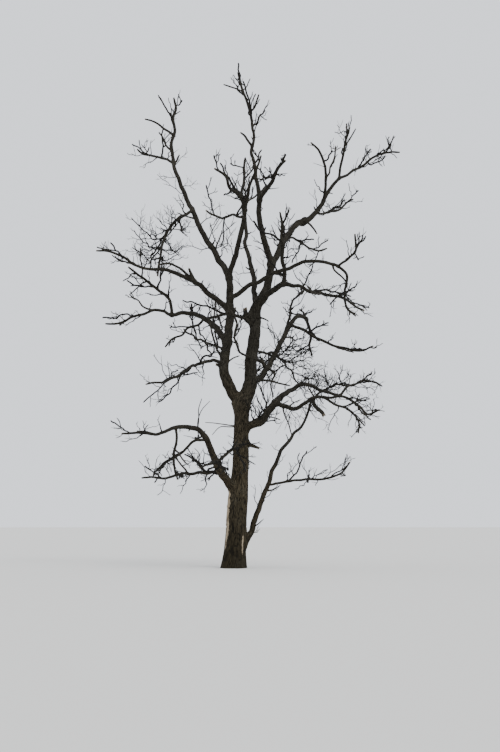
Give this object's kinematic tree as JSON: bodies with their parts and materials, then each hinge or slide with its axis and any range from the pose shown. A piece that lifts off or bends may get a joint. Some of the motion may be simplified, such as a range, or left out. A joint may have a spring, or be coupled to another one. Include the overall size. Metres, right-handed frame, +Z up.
{
  "type": "dead tree",
  "caption": "Large bare dead broadleaf tree: furrowed trunk with flared foot, forked leaders, bent spreading boughs and masses of leafless twigs, cut flat at ground level.",
  "frame": {"origin": "middle of the flat cut under the trunk, at ground level", "axes": "+Z up the trunk, +X to the right and +Y away from the viewer of the reference view"},
  "size_m": [11.4021, 9.2998, 17.9496],
  "materials": {
    "bark": "rough, deeply furrowed dead bark",
    "twigs": "matte, thin dead bark"
  },
  "bodies": {
    "root": {"trunk": "bark", "leftLeader": "bark", "rightLeader": "bark", "leftTop": "bark", "midLeft": "bark", "centreStem": "bark", "rightTrunk": "bark", "rightTop": "bark", "spire": "bark", "rightBough": "bark", "rightArm": "bark", "rightFork": "bark", "crossLimb": "bark", "leftUpper": "bark", "leftMiddle": "bark", "lowLeft": "bark", "rightLow": "bark", "rightLowUpper": "bark", "rightLowLower": "bark", "rightMiddle": "bark", "footStem": "bark", "spireTwigs": "twigs", "topRightTwigs": "twigs", "leftTipTwigs": "twigs", "leftArmTwigs": "twigs", "hangingTwigs": "twigs", "midLeftTwigs": "twigs", "midTopTwigs": "twigs", "midSideTwigs": "twigs", "backTwigs": "twigs", "armRiserTwigs": "twigs", "armTipTwigs": "twigs", "armInnerTwigs": "twigs", "armSideTwigs": "twigs", "boughSideTwigs": "twigs", "forkRiserTwigs": "twigs", "forkDroopTwigs": "twigs", "crossDroopTwigs": "twigs", "crossRiserTwigs": "twigs", "leftUpperTwigs": "twigs", "leftMiddleTwigs": "twigs", "leftMiddleRisers": "twigs", "leftLowerTwigs": "twigs", "leftInnerTwigs": "twigs", "behindTwigs": "twigs", "innerFrontTwigs": "twigs", "lowLeftTwigs": "twigs", "lowLeftDrop": "twigs", "lowLeftInner": "twigs", "lowLeftSecond": "twigs", "frontTwigs": "twigs", "rightLowTipTwigs": "twigs", "rightLowEndTwigs": "twigs", "rightLowDroop": "twigs", "rightMiddleTwigs": "twigs", "rightMiddleDroop": "twigs", "rightMiddleRiser": "twigs", "innerBackTwigs": "twigs", "footStemTwigs": "twigs", "footStemSide": "twigs"}
  },
  "joints": []
}
